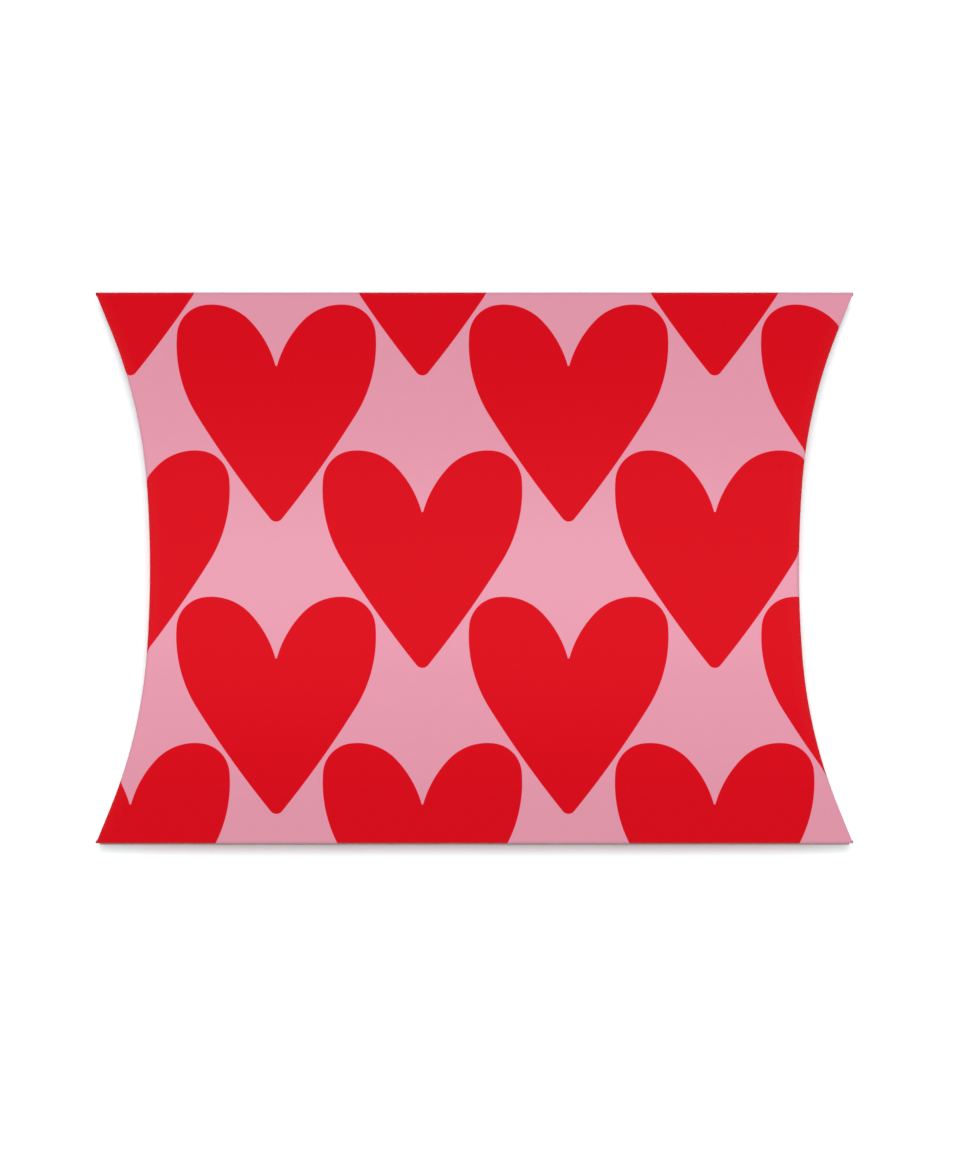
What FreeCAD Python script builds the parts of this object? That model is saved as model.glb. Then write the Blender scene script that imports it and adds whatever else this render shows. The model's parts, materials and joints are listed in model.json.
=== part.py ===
"""A pillow box: one die-cut card blank, scored on curved lines, folded round and glued along one long edge.

Millimetres. X runs along the box, Y across it and Z up through the front panel. The box lies on its
back panel, with the origin under its centre. It is modelled first about its middle plane, where the
long folds are, and lifted onto the ground at the end.

Every panel of the blank between two scores is its own solid, and so is every score that it bends on.
"""

import FreeCAD, Part
import math
import os

from FreeCAD import Matrix, Vector

# Finished box
LENGTH = 140.0  # between the points of the corners
WIDTH = 102.0  # between the two long folded edges
FRONT_RISE = 10.85  # crown of the front panel above the middle plane
CARD = 0.4  # thickness of the board

# Cross section of the bowed panels: crown, shoulder, then a straight leg down to the long edge
CROWN_RADIUS = 205.0  # the front crown is shallower than its shoulders
CROWN_HALF = 16.0  # half the width of the front crown
LEG = 9.3  # straight stretch of the front beside each long edge, to the sharp corner
BACK_LEG = 14.0  # that of the back, along which the glue flap lies

# Scores and folds
FOLD_RADIUS = 0.6  # outside of the seam fold
CREASE_FLAT = 0.35  # the outside corner of a curved crease is pressed flat by this much
CREASE_BEAD = 0.2  # and the score pushes up a bead that fills its inside corner by this much
SCORE_BAND = 1.2  # width of the creased band on each side of a curved score
HINGE_GAP = 0.25  # slit between a creased band and the flap that swings on it
NEST_GAP = 0.25  # between the outer flap and the inner flap behind it

# End flaps
OUTER_REACH = 9.4  # how far the outer flap comes down past the middle plane
INNER_REACH = 1.8  # how far the inner flap stands up past the middle plane
FLAP_TIP = 4.6  # the points of the flaps stop this far short of the long edges
OUTER_TIP_LEVEL = 0.9  # the outer flap's cut edge ends this far past the middle plane, at its points
INNER_TIP_LEVEL = 0.0  # the inner flap's ends at the middle plane
NOTCH_RADIUS = 7.0  # thumb notch in the outer flap

# Glued seam
GLUE_FLAP = 11.0  # width of the flap that is glued down
GLUE_SETBACK = 6.0  # its ends stand back from the points of the corners
GLUE_TAPER = 30.0  # degrees that its ends are cut off by
GLUE_FILM = 0.08  # thickness of the adhesive
GLUE_MARGIN = 1.0  # bare border of the glue flap
RAW_EDGE = 0.15  # the back panel's cut edge stops this far inside the seam

# Room for cutting shapes, and the search for the angle of the legs
BEYOND = LENGTH / 4  # how far a cutting shape goes past the box
PAST_CORNER = LEG / 2  # how far the leg lines run on past the long edge
SOLVER_STEPS = 60
SHALLOWEST_LEG = 1.2  # times the tilt at the end of the crown
STEEPEST_LEG = 60.0  # degrees

CROWN_TILT = math.asin(CROWN_HALF / CROWN_RADIUS)
SEAM_INSET = CARD + GLUE_FILM  # from the back panel's outside to the outside of the glue flap


def unit(angle):
    """Outward normal of the section where it is turned by this angle from the crown."""
    return Vector(0, math.sin(angle), math.cos(angle))


def seam_apex(leg):
    """Distance from the sharp corner of the section to the rounded seam edge."""
    return (FOLD_RADIUS + SEAM_INSET / 2) / math.sin(leg) - FOLD_RADIUS


def shoulder_radius(leg):
    """Radius of the shoulder that joins the front crown to a leg at this angle."""
    corner = WIDTH / 2 + seam_apex(leg)
    across = corner - CROWN_HALF - LEG * math.cos(leg)
    return across / (math.sin(leg) - math.sin(CROWN_TILT))


def front_rise_at(leg):
    """Height of the front crown when its legs stand at this angle."""
    shoulder = shoulder_radius(leg)
    crown = CROWN_RADIUS * (1 - math.cos(CROWN_TILT))
    return crown + shoulder * (math.cos(CROWN_TILT) - math.cos(leg)) + LEG * math.sin(leg)


def solve_leg_angle():
    """The angle of the straight legs that gives the front panel its rise."""
    low = CROWN_TILT * SHALLOWEST_LEG
    high = math.radians(STEEPEST_LEG)
    for _ in range(SOLVER_STEPS):
        middle = (low + high) / 2
        if front_rise_at(middle) > FRONT_RISE:
            high = middle
        else:
            low = middle
    return (low + high) / 2


LEG_ANGLE = solve_leg_angle()
CORNER = WIDTH / 2 + seam_apex(LEG_ANGLE)  # half width to the sharp corner of the section
FRONT_SHOULDER = shoulder_radius(LEG_ANGLE)

# The back panel is as deep as the front one. Its crown lies flat, as wide as that depth leaves it.
BACK_DROP = FRONT_RISE
BACK_SHOULDER = (BACK_DROP - BACK_LEG * math.sin(LEG_ANGLE)) / (1 - math.cos(LEG_ANGLE))
REST_HALF = CORNER - BACK_LEG * math.cos(LEG_ANGLE) - BACK_SHOULDER * math.sin(LEG_ANGLE)

# A score lies in a plane at 45 degrees, so a flap that folds on it stands square to the panel.
BACK_TIP = LENGTH / 2  # where the back score meets the middle plane
FRONT_TIP = BACK_TIP + (CARD + NEST_GAP) / math.cos(LEG_ANGLE)  # the outer flap goes round the inner one

# Both long edges reach equally far, so the plain fold is a little rounder than the seam.
SIDE_RADIUS = seam_apex(LEG_ANGLE) / (1 / math.sin(LEG_ANGLE) - 1)
SIDE_CENTRE = Vector(0, CORNER - SIDE_RADIUS / math.sin(LEG_ANGLE), 0)
SEAM_CENTRE = Vector(
    0,
    (FOLD_RADIUS + SEAM_INSET / 2) / math.sin(LEG_ANGLE) - CORNER,
    SEAM_INSET / 2 / math.cos(LEG_ANGLE),
)


class Side:
    """One half of the box: its section, its scores and which way it faces."""

    def __init__(self, facing, rise, crown_half, tilt, shoulder, leg, tip):
        self.facing = facing
        self.rise = rise
        self.crown_half = crown_half
        self.tilt = tilt
        self.shoulder = shoulder
        self.leg = leg
        self.tip = tip

    def half_section(self, inset):
        """Points from the middle of the crown out along one leg, with the height along +Z."""
        crown_end = Vector(0, self.crown_half, self.rise - self.crown_sag())
        centre = crown_end - unit(self.tilt) * self.shoulder
        inner = self.shoulder - inset
        shoulder_end = centre + unit(LEG_ANGLE) * inner
        along = Vector(0, math.cos(LEG_ANGLE), -math.sin(LEG_ANGLE))
        return (
            Vector(0, 0, self.rise - inset),
            crown_end - unit(self.tilt) * inset,
            centre + unit((self.tilt + LEG_ANGLE) / 2) * inner,
            shoulder_end,
            shoulder_end + along * (self.leg + PAST_CORNER),
        )

    def crown_sag(self):
        """How far the crown falls from its middle to its end."""
        return self.crown_half * math.tan(self.tilt / 2)

    def curve(self, inset, place):
        """Edges of the section from one side to the other; place turns (across, height) into a point."""

        def at(point, sign):
            return place(sign * point.y, point.z)

        crown, crown_end, shoulder, shoulder_end, leg_end = self.half_section(inset)

        def half(sign):
            leg = Part.LineSegment(at(leg_end, sign), at(shoulder_end, sign))
            bend = Part.Arc(at(shoulder_end, sign), at(shoulder, sign), at(crown_end, sign))
            return [leg.toShape(), bend.toShape()]

        if self.tilt > 0:
            middle = Part.Arc(at(crown_end, -1), at(crown, 1), at(crown_end, 1)).toShape()
        else:
            middle = Part.LineSegment(at(crown_end, -1), at(crown_end, 1)).toShape()
        return half(-1) + [middle] + half(1)[::-1]

    def panel_envelope(self, inset):
        """Everything on the inner side of the bowed panel."""
        length = LENGTH + 2 * BEYOND
        depth = BEYOND + inset

        def place(across, height):
            return Vector(-length / 2, across, self.facing * height)

        edges = self.curve(inset, place)
        leg_end = self.half_section(inset)[-1]
        corners = [
            place(leg_end.y, leg_end.z),
            place(leg_end.y, -depth),
            place(-leg_end.y, -depth),
            place(-leg_end.y, leg_end.z),
        ]
        edges += [Part.LineSegment(a, b).toShape() for a, b in zip(corners, corners[1:])]
        return solid_from(edges, Vector(length, 0, 0))

    def ends_envelope(self, inset, setback=0.0):
        """Everything between the two concave ends, which repeat the section on its side.

        The ends are hollow, so going inside one makes its curve rise further.
        """
        depth = BEYOND + inset
        reach = self.tip - setback

        def right(across, height):
            return Vector(reach - height, across, -depth)

        def left(across, height):
            return Vector(height - reach, across, -depth)

        leg_end = self.half_section(-inset)[-1]
        edges = self.curve(-inset, right) + self.curve(-inset, left)
        for sign in (-1, 1):
            ends = [end(sign * leg_end.y, leg_end.z) for end in (right, left)]
            edges.append(Part.LineSegment(*ends).toShape())
        return solid_from(edges, Vector(0, 0, 2 * depth))

    def sheet_envelope(self, inset, flat):
        """Everything inside one face of the folded sheet, with its curved creases cut flat at 45 degrees."""
        faces = self.panel_envelope(inset).common(self.ends_envelope(inset))
        reach = self.tip - 2 * inset - flat
        height = 2 * BEYOND
        outline = [
            Vector(reach - height, -WIDTH, self.facing * height),
            Vector(reach + height, -WIDTH, -self.facing * height),
        ]
        outline += [Vector(-p.x, p.y, p.z) for p in reversed(outline)]
        return faces.common(block(outline, Vector(0, 2 * WIDTH, 0)))

    def folded_sheet(self):
        """Panel and both end flaps in one piece, still open at the long edges."""
        return self.sheet_envelope(0.0, CREASE_FLAT).cut(self.sheet_envelope(CARD, CREASE_BEAD))

    def below_score(self, drop):
        """Everything past the right-hand score, cut square through the fold, this far down the flap."""
        depth = BEYOND

        def place(across, height):
            return Vector(self.tip - height, across, self.facing * height)

        leg_end = self.half_section(0.0)[-1]
        corners = [
            place(leg_end.y, leg_end.z),
            place(leg_end.y, -depth),
            place(-leg_end.y, -depth),
            place(-leg_end.y, leg_end.z),
        ]
        edges = [sheared(e, self) for e in self.curve(0.0, lambda a, h: Vector(0, a, h))]
        edges += [Part.LineSegment(a, b).toShape() for a, b in zip(corners, corners[1:])]
        through = Vector(1, 0, self.facing) * BEYOND
        solid = solid_from(edges, through * 2)
        solid.translate(Vector(0, 0, -self.facing * drop) - through)
        return solid


def sheared(edge, side):
    """A section edge laid into the crease plane of the right-hand end."""
    shear = Matrix()
    shear.A11 = 0.0
    shear.A13 = -1.0
    shear.A14 = side.tip
    shear.A33 = side.facing
    return edge.toNurbs().Edges[0].transformGeometry(shear).Edges[0]


def solid_from(edges, sweep):
    """A solid swept straight from a closed outline."""
    wire = Part.Wire(Part.__sortEdges__(edges))
    return Part.Face(wire).extrude(sweep)


def block(corner_points, sweep):
    """A prism over a polygon."""
    return Part.Face(Part.makePolygon(corner_points + corner_points[:1])).extrude(sweep)


def along_box(outline):
    """A prism the length of the box and more over a polygon of (across, height) points."""
    length = LENGTH + 2 * BEYOND
    points = [Vector(-length / 2, p.y, p.z) for p in outline]
    return block(points, Vector(length, 0, 0))


FRONT = Side(1, FRONT_RISE, CROWN_HALF, CROWN_TILT, FRONT_SHOULDER, LEG, FRONT_TIP)
BACK = Side(-1, BACK_DROP, REST_HALF, 0.0, BACK_SHOULDER, BACK_LEG, BACK_TIP)
ACROSS = {sign: Vector(0, sign * math.sin(LEG_ANGLE), math.cos(LEG_ANGLE)) for sign in (-1, 1)}


def flipped(point):
    """The same place on the other side of the middle plane."""
    return Vector(point.x, point.y, -point.z)


def between_folds(low, low_normal, high, high_normal):
    """Everything between the cut through one long fold and the cut through the other."""
    outline = [
        low + low_normal * BEYOND,
        high + high_normal * BEYOND,
        high - high_normal * BEYOND,
        low - low_normal * BEYOND,
    ]
    return along_box(outline)


def front_limits():
    """The front panel runs from the tangent of the seam fold to the tangent of the plain fold."""
    return between_folds(SEAM_CENTRE, ACROSS[-1], SIDE_CENTRE, ACROSS[1])


def back_limits():
    """The back panel runs from its raw edge at the seam to the tangent of the plain fold."""
    across = WIDTH / 2 - RAW_EDGE
    raw = Vector(0, -across, -(CORNER - across) * math.tan(LEG_ANGLE))
    return between_folds(raw, flipped(ACROSS[-1]), SIDE_CENTRE, flipped(ACROSS[1]))


def corner_limits():
    """Everything inside the crease planes, which point the ends of the long folds."""
    outline = [
        Vector(FRONT_TIP - FRONT_RISE, 0, FRONT_RISE),
        Vector(BACK_TIP, 0, FRONT_TIP - BACK_TIP),
        Vector(BACK_TIP, 0, 0),
        Vector(BACK_TIP - BACK_DROP, 0, -BACK_DROP),
    ]
    outline += [Vector(-p.x, p.y, p.z) for p in reversed(outline)]
    points = [Vector(p.x, -WIDTH, p.z) for p in outline]
    return block(points, Vector(0, 2 * WIDTH, 0))


def bend(centre, radius, start, apex, end):
    """A long fold: the card going round from one direction to another about a centre line."""
    inner = radius - CARD
    outline = [
        Part.Arc(*[centre + d * radius for d in (start, apex, end)]).toShape(),
        Part.LineSegment(centre + end * radius, centre + end * inner).toShape(),
        Part.Arc(*[centre + d * inner for d in (end, apex, start)]).toShape(),
        Part.LineSegment(centre + start * inner, centre + start * radius).toShape(),
    ]
    for edge in outline:
        edge.translate(Vector(-LENGTH, 0, 0))
    return solid_from(outline, Vector(2 * LENGTH, 0, 0)).common(corner_limits())


def side_fold():
    """The plain fold between the front and back panels."""
    return bend(SIDE_CENTRE, SIDE_RADIUS, ACROSS[1], Vector(0, 1, 0), flipped(ACROSS[1]))


def seam_fold():
    """The fold between the front panel and the glue flap inside the back panel."""
    return bend(SEAM_CENTRE, FOLD_RADIUS, ACROSS[-1], Vector(0, -1, 0), flipped(ACROSS[-1]))


def seam_plate(outset, thickness, start, width, setback):
    """A tapered plate along the inside of the back panel at the seam.

    outset is its outer face's distance from the glue flap's outer face. Its long sides lie start and
    start + width along the leg from the end of the seam fold.
    """
    normal = flipped(ACROSS[-1])
    along = Vector(0, math.cos(LEG_ANGLE), -math.sin(LEG_ANGLE))
    foot = SEAM_CENTRE + normal * (FOLD_RADIUS + outset)
    taper = math.tan(math.radians(GLUE_TAPER))
    ends = [(start, LENGTH / 2 - setback - start * taper)]
    ends.append((start + width, ends[0][1] - width * taper))
    outline = [foot + along * down + Vector(sign * half, 0, 0) for sign in (-1, 1)
               for down, half in (ends if sign < 0 else ends[::-1])]
    return block(outline, normal * -thickness)


def glue_flap():
    """The flap that is stuck inside the back panel."""
    return seam_plate(0.0, CARD, 0.0, GLUE_FLAP, GLUE_SETBACK)


def glue_film():
    """The adhesive between the glue flap and the back panel."""
    setback = GLUE_SETBACK + 2 * GLUE_MARGIN
    return seam_plate(GLUE_FILM, GLUE_FILM, GLUE_MARGIN, GLUE_FLAP - 2 * GLUE_MARGIN, setback)


def flap_outline(side, reach, tip_level):
    """The lens that a flap is cut to: an arc past the middle plane, with blunt points."""
    half = WIDTH / 2 - FLAP_TIP
    ends = [Vector(0, sign * half, -side.facing * tip_level) for sign in (-1, 1)]
    middle = Vector(0, 0, -side.facing * reach)
    above = [Vector(0, e.y, side.facing * BEYOND) for e in ends]
    edges = [
        Part.Arc(ends[0], middle, ends[1]).toShape(),
        Part.LineSegment(ends[1], above[1]).toShape(),
        Part.LineSegment(above[1], above[0]).toShape(),
        Part.LineSegment(above[0], ends[0]).toShape(),
    ]
    return solid_from(edges, Vector(LENGTH, 0, 0))


def end_flap(side, sheet, reach, tip_level):
    """The right-hand flap of one side, from just past its score to its cut edge."""
    flap = sheet.common(side.below_score(SCORE_BAND + HINGE_GAP))
    return flap.common(flap_outline(side, reach, tip_level))


def thumb_notch():
    """The half-round bite out of the middle of an outer flap's edge."""
    return Part.makeCylinder(NOTCH_RADIUS, LENGTH, Vector(0, 0, -OUTER_REACH), Vector(1, 0, 0))


def score_band(side, sheet, limits):
    """The right-hand creased band that a flap bends on: the card round the fold itself."""
    band = sheet.cut(side.ends_envelope(0.0, SCORE_BAND))
    right = Part.makeBox(LENGTH, 2 * LENGTH, 2 * LENGTH, Vector(0, -LENGTH, -LENGTH))
    return band.common(right).cut(side.below_score(SCORE_BAND)).common(limits)


def mirrored(shape):
    """The same piece at the left-hand end."""
    return shape.mirror(Vector(0, 0, 0), Vector(1, 0, 0))


def clear_of_seam():
    """The back scores stop short of the seam fold, which runs past inside them."""
    stop = SEAM_CENTRE.y + FOLD_RADIUS + HINGE_GAP
    return Part.makeBox(2 * LENGTH, LENGTH, LENGTH, Vector(-LENGTH, stop, -LENGTH / 2))


def build():
    """All the pieces, by name, about the middle plane."""
    front = FRONT.folded_sheet()
    back = BACK.folded_sheet()
    pieces = {
        "front_panel": front.common(FRONT.ends_envelope(0.0, SCORE_BAND)).common(front_limits()),
        "back_panel": back.common(BACK.ends_envelope(0.0, SCORE_BAND)).common(back_limits()),
        "side_fold": side_fold(),
        "seam_fold": seam_fold(),
        "glue_flap": glue_flap(),
        "glue_film": glue_film(),
    }
    ends = {
        "outer_score": score_band(FRONT, front, front_limits()),
        "inner_score": score_band(BACK, back, back_limits().common(clear_of_seam())),
        "outer_flap": end_flap(FRONT, front, OUTER_REACH, OUTER_TIP_LEVEL).cut(thumb_notch()),
        "inner_flap": end_flap(BACK, back, INNER_REACH, INNER_TIP_LEVEL),
    }
    for name, shape in ends.items():
        pieces["right_" + name] = shape
        pieces["left_" + name] = mirrored(shape)
    return pieces


os.makedirs("parts", exist_ok=True)
for node, shape in build().items():
    shape.translate(Vector(0, 0, BACK_DROP))
    shape.exportStep("parts/" + node + ".step")
    box = shape.BoundBox
    print(
        f"{node}: {len(shape.Solids)} solid(s), valid {shape.isValid()}, {shape.Volume:.1f} mm3,"
        f" x {box.XMin:.2f}..{box.XMax:.2f} y {box.YMin:.2f}..{box.YMax:.2f} z {box.ZMin:.2f}..{box.ZMax:.2f}"
    )
print(f"leg angle {math.degrees(LEG_ANGLE):.2f} deg, depth {FRONT_RISE + BACK_DROP:.2f} mm")
print(f"outer hinge x {FRONT_TIP - FRONT_RISE:.3f} z {FRONT_RISE + BACK_DROP:.3f}")
print(f"inner hinge x {BACK_TIP - BACK_DROP:.3f} z 0")
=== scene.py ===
"""A pillow box of printed card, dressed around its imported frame. Metres, in the frame's own axes."""

import json
import math

import bpy
import numpy as np
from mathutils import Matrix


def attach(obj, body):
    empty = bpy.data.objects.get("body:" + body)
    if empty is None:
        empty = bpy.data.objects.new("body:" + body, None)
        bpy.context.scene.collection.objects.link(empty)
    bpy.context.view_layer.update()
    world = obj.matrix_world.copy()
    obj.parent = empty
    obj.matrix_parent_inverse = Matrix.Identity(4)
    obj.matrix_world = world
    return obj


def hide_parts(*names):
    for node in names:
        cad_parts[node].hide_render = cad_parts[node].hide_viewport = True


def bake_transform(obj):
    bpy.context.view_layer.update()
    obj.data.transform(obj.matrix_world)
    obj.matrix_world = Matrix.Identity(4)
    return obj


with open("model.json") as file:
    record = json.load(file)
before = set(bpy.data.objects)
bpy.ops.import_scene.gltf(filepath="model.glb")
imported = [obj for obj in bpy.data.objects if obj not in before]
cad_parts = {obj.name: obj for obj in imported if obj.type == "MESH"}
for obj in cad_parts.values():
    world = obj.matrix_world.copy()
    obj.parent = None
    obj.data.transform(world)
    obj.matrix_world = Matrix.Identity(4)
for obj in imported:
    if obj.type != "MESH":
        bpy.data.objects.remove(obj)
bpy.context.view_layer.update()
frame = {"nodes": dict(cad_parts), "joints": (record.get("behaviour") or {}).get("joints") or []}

# Board
# Folding board, which the whole box is cut from. Its surface is short matted fibres along the grain, a slow
# mottle where the pulp was uneven, and the fine tooth that they leave in any face of it.
GRAIN = (0.35, 1.0, 1.0)  # fibres are about three times as long along the box as across it
FIBRE_DETAIL = 4.0
FIBRE_ROUGHNESS = 0.6
MOTTLE_FINENESS = 0.06  # times that of the fibres
MOTTLE_DETAIL = 3.0
TOOTH_FINENESS = 1.7  # times that of the fibres
TOOTH_HEIGHT = 0.4  # times that of the fibres


class Nodes:
    """A shader tree, and short ways to add to it."""

    def __init__(self, tree):
        self.tree = tree

    def add(self, kind, inputs=None, **settings):
        """A node with its settings made and its inputs set or linked."""
        node = self.tree.nodes.new("ShaderNode" + kind)
        for key, value in settings.items():
            setattr(node, key, value)
        for key, value in (inputs or {}).items():
            self.feed(node.inputs[key], value)
        return node

    def feed(self, socket, value):
        """Links an output to an input, or sets the input's value."""
        if isinstance(value, bpy.types.NodeSocket):
            self.tree.links.new(value, socket)
        else:
            socket.default_value = value

    def maths(self, operation, *values):
        """The result of one Math node."""
        return self.add("Math", dict(enumerate(values)), operation=operation).outputs[0]

    def between(self, share, first, second):
        """A number that goes from the first to the second."""
        return self.add("Mix", {0: share, 2: first, 3: second}).outputs[0]

    def mixed(self, share, first, second, how="MIX"):
        """A colour that goes from the first to the second."""
        inputs = {0: share, 6: first, 7: second}
        return self.add("Mix", inputs, data_type="RGBA", blend_type=how).outputs[2]

    def raised(self, height, strength, depth):
        """The normal of a surface with this height."""
        return self.add("Bump", {"Height": height, "Strength": strength, "Distance": depth}).outputs[0]


def shader_group(name, inputs, outputs):
    """A node group with named sockets: its nodes, what it is given, and where its results go."""
    tree = bpy.data.node_groups.new(name, "ShaderNodeTree")
    for label, kind in inputs:
        tree.interface.new_socket(label, in_out="INPUT", socket_type="NodeSocket" + kind)
    for label, kind in outputs:
        tree.interface.new_socket(label, in_out="OUTPUT", socket_type="NodeSocket" + kind)
    given = tree.nodes.new("NodeGroupInput").outputs
    result = tree.nodes.new("NodeGroupOutput").inputs
    return Nodes(tree), given, result


def board_fibre_group():
    """Fibres, mottle and tooth of the board at a place on it, for fibres of a given size."""
    nodes, given, result = shader_group(
        "board fibre",
        [("Place", "Vector"), ("Fibre Size", "Float")],
        [("Fibre", "Float"), ("Mottle", "Float"), ("Height", "Float")],
    )
    fine = nodes.maths("DIVIDE", 1.0, given["Fibre Size"])
    grain = nodes.add("Mapping", {"Vector": given["Place"], "Scale": GRAIN}).outputs[0]
    matted = {"Vector": grain, "Scale": fine, "Detail": FIBRE_DETAIL, "Roughness": FIBRE_ROUGHNESS}
    fibre = nodes.add("TexNoise", matted).outputs[0]
    slow = nodes.maths("MULTIPLY", fine, MOTTLE_FINENESS)
    uneven = {"Vector": given["Place"], "Scale": slow, "Detail": MOTTLE_DETAIL}
    toothed = {"Vector": grain, "Scale": nodes.maths("MULTIPLY", fine, TOOTH_FINENESS)}
    tooth = nodes.add("TexVoronoi", toothed, feature="SMOOTH_F1").outputs[0]
    nodes.feed(result["Fibre"], fibre)
    nodes.feed(result["Mottle"], nodes.add("TexNoise", uneven).outputs[0])
    nodes.feed(result["Height"], nodes.maths("MULTIPLY_ADD", tooth, TOOTH_HEIGHT, fibre))
    return nodes.tree


board_fibre = board_fibre_group()

# Heart print
# Plain red hearts in a half-drop repeat on pink. Up from its rounded tip a heart's half is one run of arcs:
# a flank that is almost straight, a side, a tight corner, a top and a flatter arc down into the cleft.
MM = 0.001
HEART_TIP = -40.93 * MM  # where the flanks would meet, below the tops of the lobes
HEART_TIP_RADIUS = 1.37 * MM
HEART_LEAN = math.radians(39.32)  # of a flank from the middle line, at the tip
HEART_FLANK_RADIUS = 196.1 * MM
HEART_FLANK_TURN = math.radians(7.36)
HEART_SIDE_RADIUS = 24.78 * MM
HEART_SIDE_TURN = math.radians(36.47)
HEART_CORNER_RADIUS = 5.82 * MM
HEART_CORNER_TURN = math.radians(77.07)
HEART_TOP_RADIUS = 9.83 * MM
HEART_TOP_TURN = math.radians(54.61)
HEART_CLEFT_RADIUS = 19.55 * MM
REPEAT = (53.94 * MM, 53.96 * MM)
FIRST_HEART = (17.36 * MM, 48.76 * MM)  # middle of the lobe tops of one heart on the front panel
HEART_ROOM = 7.0 * MM  # of the repeat above a heart
INK_EDGE = 0.05 * MM


def heading(angle):
    """Direction of travel up the right-hand outline."""
    return np.array([math.cos(angle), math.sin(angle)])


def leftward(angle):
    """Direction towards the inside of the outline."""
    return np.array([-math.sin(angle), math.cos(angle)])


def heart_group():
    """Signed distance to one heart, from a place measured from the middle of the tops of its lobes."""
    nodes, given, result = shader_group("heart", [("X", "Float"), ("Y", "Float")], [("Distance", "Float")])
    x = nodes.maths("ABSOLUTE", given["X"])
    y = given["Y"]

    def from_point(point):
        return nodes.maths("SUBTRACT", x, float(point[0])), nodes.maths("SUBTRACT", y, float(point[1]))

    def along(point, direction):
        dx, dy = from_point(point)
        upward = nodes.maths("MULTIPLY", dy, float(direction[1]))
        return nodes.maths("MULTIPLY_ADD", dx, float(direction[0]), upward)

    def outside_circle(centre, radius):
        dx, dy = from_point(centre)
        square = nodes.maths("MULTIPLY_ADD", dx, dx, nodes.maths("MULTIPLY", dy, dy))
        return nodes.maths("SUBTRACT", nodes.maths("SQRT", square), radius)

    def choose(condition, if_positive, otherwise):
        return nodes.between(nodes.maths("GREATER_THAN", condition, 0.0), otherwise, if_positive)

    start = math.pi / 2 - HEART_LEAN
    hip = start + HEART_FLANK_TURN
    shoulder = hip + HEART_SIDE_TURN
    top = shoulder + HEART_CORNER_TURN
    cleft = top + HEART_TOP_TURN
    flank_centre = np.array([0.0, HEART_TIP]) + leftward(start) * HEART_FLANK_RADIUS
    flank_end = flank_centre - leftward(hip) * HEART_FLANK_RADIUS
    tip_end = math.asin(-flank_centre[0] / (HEART_FLANK_RADIUS - HEART_TIP_RADIUS))
    tip_centre = flank_centre - leftward(tip_end) * (HEART_FLANK_RADIUS - HEART_TIP_RADIUS)
    side_centre = flank_end + leftward(hip) * HEART_SIDE_RADIUS
    corner_centre = side_centre - leftward(shoulder) * (HEART_SIDE_RADIUS - HEART_CORNER_RADIUS)
    top_centre = corner_centre + leftward(top) * (HEART_TOP_RADIUS - HEART_CORNER_RADIUS)
    top_end = top_centre - leftward(cleft) * HEART_TOP_RADIUS
    cleft_centre = top_end + leftward(cleft) * HEART_CLEFT_RADIUS

    lower = choose(
        along(tip_centre, heading(tip_end)),
        outside_circle(flank_centre, HEART_FLANK_RADIUS),
        outside_circle(tip_centre, HEART_TIP_RADIUS),
    )
    lobe = choose(
        along(top_end, heading(cleft)),
        outside_circle(cleft_centre, HEART_CLEFT_RADIUS),
        outside_circle(top_centre, HEART_TOP_RADIUS),
    )
    arcs = nodes.maths("MAXIMUM", outside_circle(side_centre, HEART_SIDE_RADIUS), lobe)
    past_side = along(corner_centre, heading(shoulder))
    before_top = along(corner_centre, -heading(top))
    in_corner = nodes.maths("MINIMUM", past_side, before_top)
    upper = choose(in_corner, outside_circle(corner_centre, HEART_CORNER_RADIUS), arcs)
    nodes.feed(result["Distance"], choose(along(flank_end, heading(hip)), upper, lower))
    return nodes.tree


def heart_print_group(heart):
    """How much of a place on the blank is red."""
    nodes, given, result = shader_group("heart print", [("Place", "Vector")], [("Red", "Float")])
    place = nodes.add("SeparateXYZ", {0: given["Place"]}).outputs
    distances = []
    for drop in (0.0, 0.5):
        from_left = nodes.maths("SUBTRACT", place[0], FIRST_HEART[0] - drop * REPEAT[0])
        from_below = nodes.maths("SUBTRACT", place[1], FIRST_HEART[1] - drop * REPEAT[1])
        x = nodes.maths("WRAP", from_left, REPEAT[0] / 2, -REPEAT[0] / 2)
        y = nodes.maths("WRAP", from_below, HEART_ROOM, HEART_ROOM - REPEAT[1])
        one_heart = nodes.add("Group", node_tree=heart)
        nodes.feed(one_heart.inputs["X"], x)
        nodes.feed(one_heart.inputs["Y"], y)
        distances.append(one_heart.outputs["Distance"])
    edge = {"Value": nodes.maths("MINIMUM", *distances), "From Min": INK_EDGE, "From Max": -INK_EDGE}
    nodes.feed(result["Red"], nodes.add("MapRange", edge, interpolation_type="SMOOTHSTEP").outputs[0])
    return nodes.tree


heart_print = heart_print_group(heart_group())

# Printed face
# The outer face: satin pink ink and a duller red, under a thin seal. The inks follow the tooth of the board,
# and along the folds they are stretched thin, so that a little of its white coating shows through.
INK_PINK = (0.815, 0.328, 0.431, 1.0)
INK_RED = (0.722, 0.0004, 0.0085, 1.0)
COATING_WHITE = (0.86, 0.84, 0.80, 1.0)
PINK_ROUGHNESS = 0.29
RED_ROUGHNESS = 0.54
MOTTLED_ROUGHNESS = 0.04  # added where the board is mottled
WORN_ROUGHNESS = 0.1  # added where the ink is worn
PRINT_SPECULAR = 0.11
PRINT_FIBRE = 0.22 * MM
THINNEST_INK = 0.96
FIBRE_INK = 0.05  # of the ink's strength follows the fibres
MOTTLE_INK = 0.03  # and this the mottle
WORN_FIBRES = (0.42, 0.68)  # the lowest fibres that wear touches, and those that it wears through
WORN_THROUGH = 0.04  # of the coating shows there
PRINT_TOOTH = 0.012 * MM
PRINT_BUMP = 0.25


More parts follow.
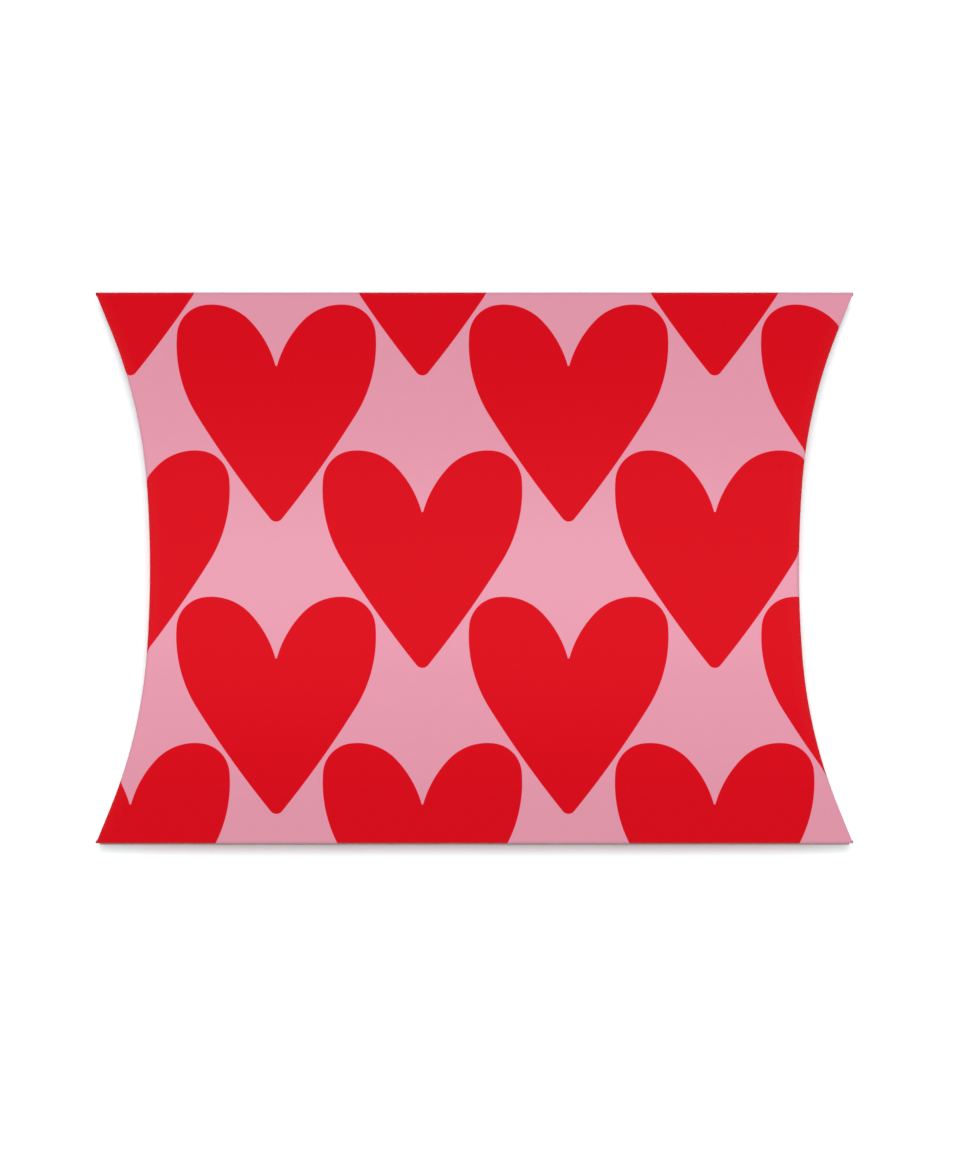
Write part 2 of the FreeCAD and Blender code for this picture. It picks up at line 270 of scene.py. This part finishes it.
def finish_of(name):
    """A new material: its nodes and its surface shader."""
    material = bpy.data.materials.new(name)
    material.use_nodes = True
    return material, Nodes(material.node_tree), material.node_tree.nodes["Principled BSDF"]


def printed_face():
    material, nodes, shader = finish_of("printed_card")
    place = nodes.add("UVMap", uv_map="blank").outputs[0]
    red = nodes.add("Group", {0: place}, node_tree=heart_print).outputs["Red"]
    fibre = nodes.add("Group", {0: place, 1: PRINT_FIBRE}, node_tree=board_fibre).outputs
    mottled = nodes.maths("MULTIPLY_ADD", fibre["Mottle"], MOTTLE_INK, THINNEST_INK)
    strength = nodes.maths("MULTIPLY_ADD", fibre["Fibre"], FIBRE_INK, mottled)
    ink = nodes.mixed(1.0, nodes.mixed(red, INK_PINK, INK_RED), strength, "MULTIPLY")
    wear = nodes.add("Attribute", attribute_name="wear").outputs["Fac"]
    patchy = {"Value": fibre["Fibre"], "From Min": WORN_FIBRES[0], "From Max": WORN_FIBRES[1]}
    worn = nodes.maths("MULTIPLY", wear, nodes.add("MapRange", patchy).outputs[0])
    colour = nodes.mixed(nodes.maths("MULTIPLY", worn, WORN_THROUGH), ink, COATING_WHITE)
    dull = nodes.between(red, PINK_ROUGHNESS, RED_ROUGHNESS)
    uneven = nodes.maths("MULTIPLY_ADD", fibre["Mottle"], MOTTLED_ROUGHNESS, dull)
    nodes.feed(shader.inputs["Base Color"], colour)
    nodes.feed(shader.inputs["Roughness"], nodes.maths("MULTIPLY_ADD", worn, WORN_ROUGHNESS, uneven))
    nodes.feed(shader.inputs["Normal"], nodes.raised(fibre["Height"], PRINT_BUMP, PRINT_TOOTH))
    shader.inputs["Specular IOR Level"].default_value = PRINT_SPECULAR
    return material


# Bare face
# The inside of the box, which is the back of every panel and flap: uncoated board, left as it came from the
# mill. It is a warm white, with darker and paler fibres lying in it and a few brown flecks.
BARE_LIGHT = (0.80, 0.775, 0.72, 1.0)
BARE_DARK = (0.70, 0.665, 0.595, 1.0)
FLECK = (0.52, 0.46, 0.38, 1.0)
FLECKS_PER_METRE = 260.0
FLECK_SIZE = (0.07, 0.03)  # from its edge to its full colour, of the space between flecks
FLECK_STRENGTH = 0.5
BARE_MOTTLE = 0.3  # against the fibres
BARE_FIBRE = 0.35 * MM
BARE_ROUGHNESS = 0.84
BARE_ROUGHNESS_CHANGE = 0.1
BARE_SPECULAR = 0.2
BARE_TOOTH = 0.03 * MM
BARE_BUMP = 0.4


def bare_face():
    material, nodes, shader = finish_of("bare_card")
    place = nodes.add("UVMap", uv_map="blank").outputs[0]
    fibre = nodes.add("Group", {0: place, 1: BARE_FIBRE}, node_tree=board_fibre).outputs
    pale = nodes.between(BARE_MOTTLE, fibre["Fibre"], fibre["Mottle"])
    pulp = nodes.mixed(pale, BARE_DARK, BARE_LIGHT)
    specks = nodes.add("TexVoronoi", {"Vector": place, "Scale": FLECKS_PER_METRE}).outputs["Distance"]
    speck = {"Value": specks, "From Min": FLECK_SIZE[0], "From Max": FLECK_SIZE[1], "To Max": FLECK_STRENGTH}
    fleck = nodes.add("MapRange", speck).outputs[0]
    rough = nodes.maths("MULTIPLY_ADD", fibre["Fibre"], BARE_ROUGHNESS_CHANGE, BARE_ROUGHNESS)
    nodes.feed(shader.inputs["Base Color"], nodes.mixed(fleck, pulp, FLECK))
    nodes.feed(shader.inputs["Roughness"], rough)
    nodes.feed(shader.inputs["Normal"], nodes.raised(fibre["Height"], BARE_BUMP, BARE_TOOTH))
    shader.inputs["Specular IOR Level"].default_value = BARE_SPECULAR
    return material


# Cut edge
# Where the die went through the blank, the grey recycled core of the board shows between its pale faces,
# with torn fibres standing in it. Its grey is painted darker than the board's own: painted shade, which
# draws the dark line along the box's lower edge.
SHADED_CORE_PALE = (0.34, 0.31, 0.29, 1.0)
SHADED_CORE_DARK = (0.17, 0.155, 0.14, 1.0)
CORE_FIBRE = 0.12 * MM
CORE_ROUGHNESS = 0.85
CORE_ROUGHNESS_CHANGE = 0.1
CORE_SPECULAR = 0.2
CORE_TOOTH = 0.03 * MM
CORE_BUMP = 0.6


def cut_edge():
    material, nodes, shader = finish_of("cut_edge")
    place = nodes.add("TexCoord").outputs["Object"]
    fibre = nodes.add("Group", {0: place, 1: CORE_FIBRE}, node_tree=board_fibre).outputs
    rough = nodes.maths("MULTIPLY_ADD", fibre["Mottle"], CORE_ROUGHNESS_CHANGE, CORE_ROUGHNESS)
    # The core's colours are its grey with painted shade on top, darker than the board itself.
    nodes.feed(shader.inputs["Base Color"], nodes.mixed(fibre["Fibre"], SHADED_CORE_DARK, SHADED_CORE_PALE))
    nodes.feed(shader.inputs["Roughness"], rough)
    nodes.feed(shader.inputs["Normal"], nodes.raised(fibre["Height"], CORE_BUMP, CORE_TOOTH))
    shader.inputs["Specular IOR Level"].default_value = CORE_SPECULAR
    return material


card_finishes = [printed_face(), bare_face(), cut_edge()]

# Front panel
# The face that shows: card bowed across its width and straight along its length, between two curved scores.
# Its section is a crown, a shoulder and a straight leg down to each long edge. It isn't quite true, as bent
# card never is.
CARD = 0.4 * MM
GLUE_FILM = 0.08 * MM
WIDTH = 102 * MM
CROWN_RADIUS = 205 * MM
CROWN_HALF = 16 * MM
FRONT_LEG = 9.3 * MM
SEAM_RADIUS = 0.6 * MM  # of the seam's score
SEAM_BEND = 0.73 * MM  # its fold is rounder than its score, so the raw edge behind it shows
SHALLOWEST_LEG = 1.2  # times the tilt at the end of the crown
STEEPEST_LEG = math.radians(60)
HALVINGS = 50
CREASE_RADIUS = 0.6 * MM
POINT_RADIUS = 0.12 * MM  # of a curved crease at the point of a corner
POINT_FADE = 6 * MM
PANEL_ROWS = 90
PANEL_COLUMNS = 64
WAVE = 0.05 * MM
WAVE_LENGTHS = (47 * MM, 71 * MM)
WAVE_SLANT = 40.0  # radians to the metre across the box
WAVE_START = 1.0
FOLD_WEAR = 0.3
FOLD_FADE = 0.6 * MM  # from a crease over which its wear fades out

hinges = {joint["name"]: joint["pos_m"] for joint in frame["joints"]}
RISE = hinges["right_outer_fold"][2] / 2
FRONT_TIP = hinges["right_outer_fold"][0] + RISE
CROWN_TILT = math.asin(CROWN_HALF / CROWN_RADIUS)
SEAM_INSET = CARD + GLUE_FILM


def seam_apex(leg):
    """From the sharp corner of the section to the rounded seam edge."""
    return (SEAM_RADIUS + SEAM_INSET / 2) / math.sin(leg) - SEAM_RADIUS


def front_shoulder(leg):
    """Radius of the shoulder between the front crown and a leg at this angle."""
    across = WIDTH / 2 + seam_apex(leg) - CROWN_HALF - FRONT_LEG * math.cos(leg)
    return across / (math.sin(leg) - math.sin(CROWN_TILT))


def front_rise(leg):
    """Height of the front crown with its legs at this angle."""
    crown = CROWN_RADIUS * (1 - math.cos(CROWN_TILT))
    shoulder = front_shoulder(leg) * (math.cos(CROWN_TILT) - math.cos(leg))
    return crown + shoulder + FRONT_LEG * math.sin(leg)


def leg_angle():
    """The angle of the legs that gives the front panel its rise, by halving."""
    low = CROWN_TILT * SHALLOWEST_LEG
    high = STEEPEST_LEG
    for _ in range(HALVINGS):
        middle = (low + high) / 2
        if front_rise(middle) > RISE:
            high = middle
        else:
            low = middle
    return low


LEG_ANGLE = leg_angle()
CORNER = WIDTH / 2 + seam_apex(LEG_ANGLE)


def bow(across, shoulder, leg):
    """Height of a panel's outer face above the middle plane, and its tilt, at distances across the box."""
    reach = np.abs(across)
    leg_start = CORNER - leg * math.cos(LEG_ANGLE)
    centre = leg_start - shoulder * math.sin(LEG_ANGLE)
    base = leg * math.sin(LEG_ANGLE) - shoulder * math.cos(LEG_ANGLE)
    turn = np.arcsin(np.clip((reach - centre) / shoulder, 0, math.sin(LEG_ANGLE)))
    on_leg = (CORNER - reach) * math.tan(LEG_ANGLE)
    height = np.where(reach > leg_start, on_leg, base + shoulder * np.cos(turn))
    return height, turn * np.sign(across)


def front_bow(across):
    """The front panel's section, whose crown is a shallow arc."""
    height, tilt = bow(across, front_shoulder(LEG_ANGLE), FRONT_LEG)
    crown = np.abs(across) < CROWN_HALF
    on_crown = np.clip(across, -CROWN_HALF, CROWN_HALF)
    crown_height = RISE - CROWN_RADIUS + np.sqrt(CROWN_RADIUS**2 - on_crown**2)
    return np.where(crown, crown_height, height), np.where(crown, np.arcsin(on_crown / CROWN_RADIUS), tilt)


def crease_radius(across):
    """The rounding of a curved crease, which sharpens towards the points of the corners."""
    left = np.clip((WIDTH / 2 - np.abs(across)) / POINT_FADE, 0, 1)
    return POINT_RADIUS + (CREASE_RADIUS - POINT_RADIUS) * left * left * (3 - 2 * left)


side_fold_radius = seam_apex(LEG_ANGLE) / (1 / math.sin(LEG_ANGLE) - 1)
side_fold_centre = np.array([CORNER - side_fold_radius / math.sin(LEG_ANGLE), 0.0])
side_fold_start = side_fold_centre[0] + side_fold_radius * math.sin(LEG_ANGLE)
seam_fold_centre = np.array([
    (SEAM_BEND + SEAM_INSET / 2) / math.sin(LEG_ANGLE) - CORNER,
    SEAM_INSET / 2 / math.cos(LEG_ANGLE),
])
seam_fold_start = seam_fold_centre[0] - SEAM_BEND * math.sin(LEG_ANGLE)


def card_piece(name, outer, outward, printed, wear, cells=None):
    """A printed sheet on a grid of points, thickened inwards with a bare face and cut edges.

    outward says roughly which way its printed side looks, printed gives each point's place on the flat
    blank, and wear how worn the print is there. cells says which squares of the grid are card.
    """
    rows, columns = outer.shape[:2]
    if cells is None:
        cells = np.ones((rows - 1, columns - 1), bool)
    index = np.arange(rows * columns).reshape(rows, columns)
    squares = np.stack([index[:-1, :-1], index[1:, :-1], index[1:, 1:], index[:-1, 1:]], axis=-1)[cells]
    along = outer[1:, :-1] - outer[:-1, :-1]
    across = outer[:-1, 1:] - outer[:-1, :-1]
    if np.sum(np.cross(along, across) * outward[:-1, :-1]) < 0:
        squares = squares[:, ::-1]
    used, faces = np.unique(squares, return_inverse=True)
    faces = faces.reshape(squares.shape)
    mesh = bpy.data.meshes.new(name)
    mesh.from_pydata(outer.reshape(-1, 3)[used].tolist(), [], faces.tolist())
    mesh.polygons.foreach_set("use_smooth", [True] * len(faces))
    place = mesh.uv_layers.new(name="blank")
    place.data.foreach_set("uv", printed.reshape(-1, 2)[used][faces].astype(np.float32).ravel())
    worn = mesh.attributes.new("wear", "FLOAT", "POINT")
    worn.data.foreach_set("value", wear.ravel()[used].astype(np.float32))
    edge_uses = np.bincount([loop.edge_index for loop in mesh.loops])
    for edge in mesh.edges:
        edge.use_edge_sharp = bool(edge_uses[edge.index] == 1)
    piece = bpy.data.objects.new(name, mesh)
    sheet = piece.modifiers.new("card", "SOLIDIFY")
    sheet.thickness = CARD
    sheet.offset = -1.0
    sheet.material_offset = 1
    sheet.material_offset_rim = 2
    bpy.context.collection.objects.link(piece)
    return piece


def panel(name, facing, section, tip, low, high, blank_across):
    """A bowed panel between its two curved scores."""
    across = np.linspace(low, high, PANEL_ROWS + 1)
    height, tilt = section(across)
    half = tip - height - crease_radius(across)
    share = np.linspace(-1, 1, PANEL_COLUMNS + 1)
    x = half[:, None] * share
    y = np.repeat(across[:, None], PANEL_COLUMNS + 1, axis=1)
    z = np.repeat(RISE + facing * height[:, None], PANEL_COLUMNS + 1, axis=1)
    outer = np.stack([x, y, z], axis=-1)
    normals = np.zeros(outer.shape)
    normals[..., 1] = np.sin(tilt)[:, None]
    normals[..., 2] = facing * np.cos(tilt)[:, None]
    calm = (1 - share**2) * (1 - np.clip(np.abs(across) / side_fold_start, 0, 1))[:, None]
    slanting = np.sin(x / WAVE_LENGTHS[0] * 2 * math.pi + WAVE_SLANT * y)
    straight = np.sin(x / WAVE_LENGTHS[1] * 2 * math.pi + WAVE_START)
    outer += normals * (WAVE * calm * slanting * straight)[..., None] * facing
    printed = np.stack([x, blank_across(y)], axis=-1)
    wear = np.clip(1 - (half[:, None] - np.abs(x)) / FOLD_FADE, 0, 1) * FOLD_WEAR
    return card_piece(name, outer, normals, printed, wear)


def dress(piece, slot, *nodes):
    """Gives a piece of card its three finishes and hides the CAD nodes that it stands for. Its slot is not
    used.
    """
    for material in card_finishes:
        piece.data.materials.append(material)
    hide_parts(*nodes)


front_panel = panel(
    "front_panel_card", 1, front_bow, FRONT_TIP, seam_fold_start, side_fold_start, lambda y: y
)
dress(front_panel, "printed_card", "front_panel")
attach(front_panel, "sleeve")

# Back panel
# The same card behind, on which the box lies. Its middle is flat. At the seam it is stuck down on the glue
# flap, and its raw edge stands a hair past the fold.
BACK_LEG = 14 * MM
BACK_TIP = hinges["right_inner_fold"][0] + RISE
BACK_SHOULDER = (RISE - BACK_LEG * math.sin(LEG_ANGLE)) / (1 - math.cos(LEG_ANGLE))


def back_bow(across):
    """The back panel's section, whose crown lies flat."""
    return bow(across, BACK_SHOULDER, BACK_LEG)


def behind(y):
    """Place across the blank of a point of the back panel, past the plain fold."""
    return WIDTH - y


back_panel = panel("back_panel_card", -1, back_bow, BACK_TIP, -WIDTH / 2, side_fold_start, behind)
dress(back_panel, "printed_card", "back_panel")
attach(back_panel, "sleeve")

# Long folds
# Two straight scores: the plain fold between the panels, and the tighter one at the seam, from which the
# glue flap turns in behind. Their ends are pointed by the curved scores that meet there.
FOLD_STEPS = 14


def long_fold(name, centre, radius, side, blank_ends):
    """The card going round one long edge."""
    half_turn = math.pi / 2 - LEG_ANGLE
    angles = np.linspace(half_turn, -half_turn, FOLD_STEPS + 1)
    around = np.stack([np.zeros_like(angles), side * np.cos(angles), np.sin(angles)], axis=-1)
    normals = np.repeat(around[:, None], PANEL_COLUMNS + 1, axis=1)
    level = centre[1] + radius * np.sin(angles)
    half = np.minimum(np.minimum(FRONT_TIP - level, BACK_TIP + level), BACK_TIP)
    x = half[:, None] * np.linspace(-1, 1, PANEL_COLUMNS + 1)
    outer = np.array([0.0, centre[0], RISE + centre[1]]) + normals * radius
    outer[..., 0] = x
    turned = np.linspace(*blank_ends, FOLD_STEPS + 1)
    printed = np.stack([x, np.repeat(turned[:, None], PANEL_COLUMNS + 1, axis=1)], axis=-1)
    wear = np.repeat(np.cos(angles)[:, None] ** 2, PANEL_COLUMNS + 1, axis=1)
    return card_piece(name, outer, normals, printed, wear)


side_ends = (side_fold_start, behind(side_fold_start))
side_fold = long_fold("side_fold_card", side_fold_centre, side_fold_radius, 1, side_ends)
dress(side_fold, "printed_card", "side_fold")
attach(side_fold, "sleeve")
seam_ends = (seam_fold_start, seam_fold_start - 2 * SEAM_BEND)
seam_fold = long_fold("seam_fold_card", seam_fold_centre, SEAM_BEND, -1, seam_ends)
dress(seam_fold, "printed_card", "seam_fold")
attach(seam_fold, "sleeve")

# Glue flap
# The last strip of the blank, which turns in at the seam and is stuck by its printed side to the inside of
# the back panel. Its ends are cut back so that they stay clear of the end flaps.
GLUE_FLAP = 11 * MM
GLUE_SETBACK = 6 * MM
GLUE_TAPER = math.radians(30)
GLUE_ROWS = 8


def glue_flap_card():
    down = np.linspace(0, GLUE_FLAP, GLUE_ROWS + 1)
    half = BACK_TIP - GLUE_SETBACK - down * math.tan(GLUE_TAPER)
    normal = np.array([0.0, -math.sin(LEG_ANGLE), -math.cos(LEG_ANGLE)])
    along = np.array([0.0, math.cos(LEG_ANGLE), -math.sin(LEG_ANGLE)])
    foot = np.array([0.0, seam_fold_centre[0], RISE + seam_fold_centre[1]]) + normal * SEAM_BEND
    x = half[:, None] * np.linspace(-1, 1, PANEL_COLUMNS + 1)
    outer = np.repeat((foot + down[:, None] * along)[:, None], PANEL_COLUMNS + 1, axis=1)
    outer[..., 0] = x
    normals = np.broadcast_to(normal, outer.shape)
    blank = np.repeat((seam_ends[1] - down)[:, None], PANEL_COLUMNS + 1, axis=1)
    return card_piece("glue_flap_card", outer, normals, np.stack([x, blank], axis=-1), np.zeros(x.shape))


glue_flap = glue_flap_card()
dress(glue_flap, "bare_card", "glue_flap")
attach(glue_flap, "sleeve")

# Glue line
# A film of dried adhesive between the glue flap and the back panel: clear, faintly amber, a little uneven
# where it pooled. It is the frame's own piece, with this finish.
GLUE_PALE = (0.84, 0.80, 0.68, 1.0)
GLUE_AMBER = (0.72, 0.62, 0.42, 1.0)
GLUE_POOLS = 180.0  # to the metre
GLUE_DETAIL = 3.0
GLUE_ROUGHNESS = 0.2
GLUE_ROUGHNESS_CHANGE = 0.3
GLUE_RIPPLE = 0.05 * MM
GLUE_BUMP = 0.3


def dried_glue():
    material, nodes, shader = finish_of("dried_glue")
    place = nodes.add("TexCoord").outputs["Object"]
    pooled = nodes.add("TexNoise", {"Vector": place, "Scale": GLUE_POOLS, "Detail": GLUE_DETAIL}).outputs[0]
    rough = nodes.maths("MULTIPLY_ADD", pooled, GLUE_ROUGHNESS_CHANGE, GLUE_ROUGHNESS)
    nodes.feed(shader.inputs["Base Color"], nodes.mixed(pooled, GLUE_PALE, GLUE_AMBER))
    nodes.feed(shader.inputs["Roughness"], rough)
    nodes.feed(shader.inputs["Normal"], nodes.raised(pooled, GLUE_BUMP, GLUE_RIPPLE))
    return material


glue_line = frame["nodes"]["glue_film"]
glue_line.data.materials.clear()
glue_line.data.materials.append(dried_glue())

# End flaps
# Four lenses of the same card, each carried by its curved score. The front panel's pair closes outside, with
# a thumb notch, and the back panel's shallower pair tucks in behind.
BAND = 1.25 * MM  # of card beside a score that doesn't move when the flap is lifted
FLAP_SHORT = 4.6 * MM  # from the end of a flap's arc to the side of the box
FLAP_HALF = WIDTH / 2 - FLAP_SHORT
NOTCH = 7 * MM
OUTER_REACH = 9.4 * MM
OUTER_POINT = 0.9 * MM
INNER_REACH = 1.8 * MM
INNER_POINT = 0.0
CORNER_POINT = 0.36 * MM  # of an outer flap past the middle plane, at the box's corners
LEAST_DEPTH = 0.12 * MM  # of a flap below its band
CREASE_STEPS = 8
WALL_STEPS = 30
NOTCH_COLUMNS = 16
PLAIN_COLUMNS = 8  # in place of a notch
BODY_COLUMNS = 60
CORNER_COLUMNS = 8
EDGE_WEAR = 0.35


def edge_level(across, reach, point):
    """How far past the middle plane a flap's cut edge lies: an arc, then on to the box's corners."""
    sag = reach - point
    radius = (FLAP_HALF**2 + sag**2) / (2 * sag)
    arc = reach - radius + np.sqrt(radius**2 - np.minimum(np.abs(across), FLAP_HALF) ** 2)
    past = np.clip((np.abs(across) - FLAP_HALF) / (side_fold_start - FLAP_HALF), 0, 1)
    return arc + (min(point, CORNER_POINT) - point) * past


def flap_columns(notch):
    """Places across a flap, with the ends of its arc and of its notch falling on a column."""
    if notch:
        middle = NOTCH * np.sin(np.linspace(0, math.pi / 2, NOTCH_COLUMNS + 1))
    else:
        middle = np.linspace(0, NOTCH, PLAIN_COLUMNS + 1)
    body = np.linspace(NOTCH, FLAP_HALF, BODY_COLUMNS + 1)[1:]
    corner = np.linspace(FLAP_HALF, side_fold_start, CORNER_COLUMNS + 1)[1:]
    right = np.concatenate([middle, body, corner])
    return np.maximum(np.concatenate([-right[:0:-1], right]), seam_fold_start)


def end_flap(name, end, facing, section, tip, reach, point, notch):
    """A flap with its rounded crease, from the panel's end to its cut edge."""
    across = flap_columns(notch)
    height, _ = section(across)
    radius = crease_radius(across)
    level = -edge_level(across, reach, point)
    if notch:
        level = np.maximum(level, np.sqrt(np.maximum(NOTCH**2 - across**2, 0)) - reach)
    bend = np.linspace(0, math.pi / 2, CREASE_STEPS + 1)[:, None]
    crease_start = tip - height - radius
    crease_x = crease_start + radius * np.sin(bend)
    crease_z = height - radius + radius * np.cos(bend)
    crease_blank = crease_start + 2 * radius * bend / (math.pi / 2)
    below_band = height - BAND
    drop = np.linspace(0, 1, WALL_STEPS + 1)[:, None]
    wall_x = np.repeat((tip - height)[None], WALL_STEPS + 1, axis=0)
    wall_z = below_band + (np.minimum(level, below_band) - below_band) * drop
    x = np.concatenate([crease_x, wall_x])
    y = np.repeat(across[None], len(x), axis=0)
    z = np.concatenate([crease_z, wall_z])
    outer = np.stack([end * x, y, RISE + facing * z], axis=-1)
    outward = np.broadcast_to(np.array([end, 0, facing]), outer.shape)
    blank_x = end * np.concatenate([crease_blank, tip - wall_z])
    blank_y = y if facing > 0 else behind(y)
    crease_wear = np.cos((bend - math.pi / 4) * 2) * np.ones_like(across)
    near_crease = np.clip(1 - (height - radius - wall_z) / FOLD_FADE, 0, 1)
    near_edge = np.clip(1 - (wall_z - level) / FOLD_FADE, 0, 1)
    wear = np.concatenate([crease_wear, np.maximum(near_crease * FOLD_WEAR, near_edge * EDGE_WEAR)])
    deep = below_band - level > LEAST_DEPTH
    cells = np.ones((len(x) - 1, len(across) - 1), bool)
    cells[CREASE_STEPS + 1:] = deep[1:] & deep[:-1]
    return card_piece(name, outer, outward, np.stack([blank_x, blank_y], axis=-1), wear, cells)


def curl(piece):
    """Bakes a flap's placement into its mesh."""
    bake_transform(piece)


for end_name, end in (("left", -1), ("right", 1)):
    outer_name = end_name + "_outer_flap"
    outer_flap = end_flap(outer_name + "_card", end, 1, front_bow, FRONT_TIP, OUTER_REACH, OUTER_POINT, True)
    dress(outer_flap, "printed_card", outer_name, end_name + "_outer_score")
    curl(outer_flap)
    inner_name = end_name + "_inner_flap"
    inner_flap = end_flap(inner_name + "_card", end, -1, back_bow, BACK_TIP, INNER_REACH, INNER_POINT, False)
    dress(inner_flap, "printed_card", inner_name, end_name + "_inner_score")
    curl(inner_flap)

# Table
# A plain white table, on which the box lies. To the camera it is lifted to white, so that only the deepest
# of the shadow shows.
TABLE_HALF = 8.0
TABLE_DROP = 0.05 * MM
TABLE_WHITE = (0.72, 0.75, 0.75, 1.0)
TABLE_SEEN = (1.25, 1.43, 1.43, 1.0)


def seen_directly(nodes):
    """One for a ray that shows the background: from the camera, off a gloss or through glass."""
    path = nodes.add("LightPath").outputs
    glossy = nodes.maths("MAXIMUM", path["Is Glossy Ray"], path["Is Transmission Ray"])
    return nodes.maths("MAXIMUM", path["Is Camera Ray"], glossy)


def white_table():
    material, nodes, shader = finish_of("white_table")
    nodes.feed(shader.inputs["Base Color"], nodes.mixed(seen_directly(nodes), TABLE_WHITE, TABLE_SEEN))
    shader.inputs["Roughness"].default_value = 1.0
    shader.inputs["Specular IOR Level"].default_value = 0.0
    return material


table_corners = [
    (-TABLE_HALF, -TABLE_HALF, -TABLE_DROP),
    (TABLE_HALF, -TABLE_HALF, -TABLE_DROP),
    (TABLE_HALF, TABLE_HALF, -TABLE_DROP),
    (-TABLE_HALF, TABLE_HALF, -TABLE_DROP),
]
table_top = bpy.data.meshes.new("table")
table_top.from_pydata(table_corners, [], [(0, 1, 2, 3)])
table_top.materials.append(white_table())
table = bpy.data.objects.new("table", table_top)
bpy.context.collection.objects.link(table)

# Light
# A window towards the top of the picture gives the shadow, and a light straight above gives the gloss across
# the front panel. A long lamp close over the box lights its crown more than its edges. The room around is an
# even white.
WINDOW_STRENGTH = 1.03
WINDOW_TILT = math.radians(9.2)
WINDOW_SIZE = math.radians(12)
OVERHEAD_STRENGTH = 0.60
OVERHEAD_TILT = math.radians(1.2)
OVERHEAD_SIZE = math.radians(8)
LAMP_POWER = 0.0185
LAMP_PLACE = (0, -0.014, 0.075)
LAMP_LENGTH = 0.5
LAMP_WIDTH = 0.03
ROOM_STRENGTH = 0.38
ROOM_SEEN = 1.0


def distant_light(name, strength, size, tilt):
    """A soft light far off, tilted towards the top of the picture."""
    light = bpy.data.objects.new(name, bpy.data.lights.new(name, "SUN"))
    light.data.energy = strength
    light.data.angle = size
    light.rotation_euler = (-tilt, 0, 0)
    bpy.context.collection.objects.link(light)
    return light


window = distant_light("window", WINDOW_STRENGTH, WINDOW_SIZE, WINDOW_TILT)
window.visible_glossy = False
distant_light("overhead", OVERHEAD_STRENGTH, OVERHEAD_SIZE, OVERHEAD_TILT)
lamp = bpy.data.objects.new("lamp", bpy.data.lights.new("lamp", "AREA"))
lamp.data.shape = "RECTANGLE"
lamp.data.size = LAMP_LENGTH
lamp.data.size_y = LAMP_WIDTH
lamp.data.energy = LAMP_POWER
lamp.location = LAMP_PLACE
lamp.visible_camera = False
bpy.context.collection.objects.link(lamp)
room = bpy.data.worlds.new("room")
room.use_nodes = True
room_nodes = Nodes(room.node_tree)
room_light = room.node_tree.nodes["Background"].inputs
room_light["Color"].default_value = (1, 1, 1, 1)
room_strength = room_nodes.between(seen_directly(room_nodes), ROOM_STRENGTH, ROOM_SEEN)
room_nodes.feed(room_light["Strength"], room_strength)
bpy.context.scene.world = room
bpy.context.scene.view_settings.view_transform = "Standard"

# Camera
# Straight above the front panel, far off with a long lens. The box stands a little left of the middle of the
# picture and above it.
PICTURE = (960, 1167)
BOX_CENTRE = (474.5, 568.5)  # in the picture
BOX_ACROSS = 552.1  # height of the box in the picture
LENS = 900.0
SENSOR = 36.0
FARTHEST = 20.0
pixel = WIDTH / BOX_ACROSS
aside = (PICTURE[0] / 2 - BOX_CENTRE[0]) * pixel
down = (PICTURE[1] / 2 - BOX_CENTRE[1]) * pixel
camera = bpy.data.objects.new("camera", bpy.data.cameras.new("camera"))
camera.data.lens = LENS
camera.data.sensor_width = SENSOR
camera.data.clip_end = FARTHEST
camera.location = (aside, -down, RISE + PICTURE[1] * pixel * LENS / SENSOR)
bpy.context.collection.objects.link(camera)
bpy.context.scene.camera = camera
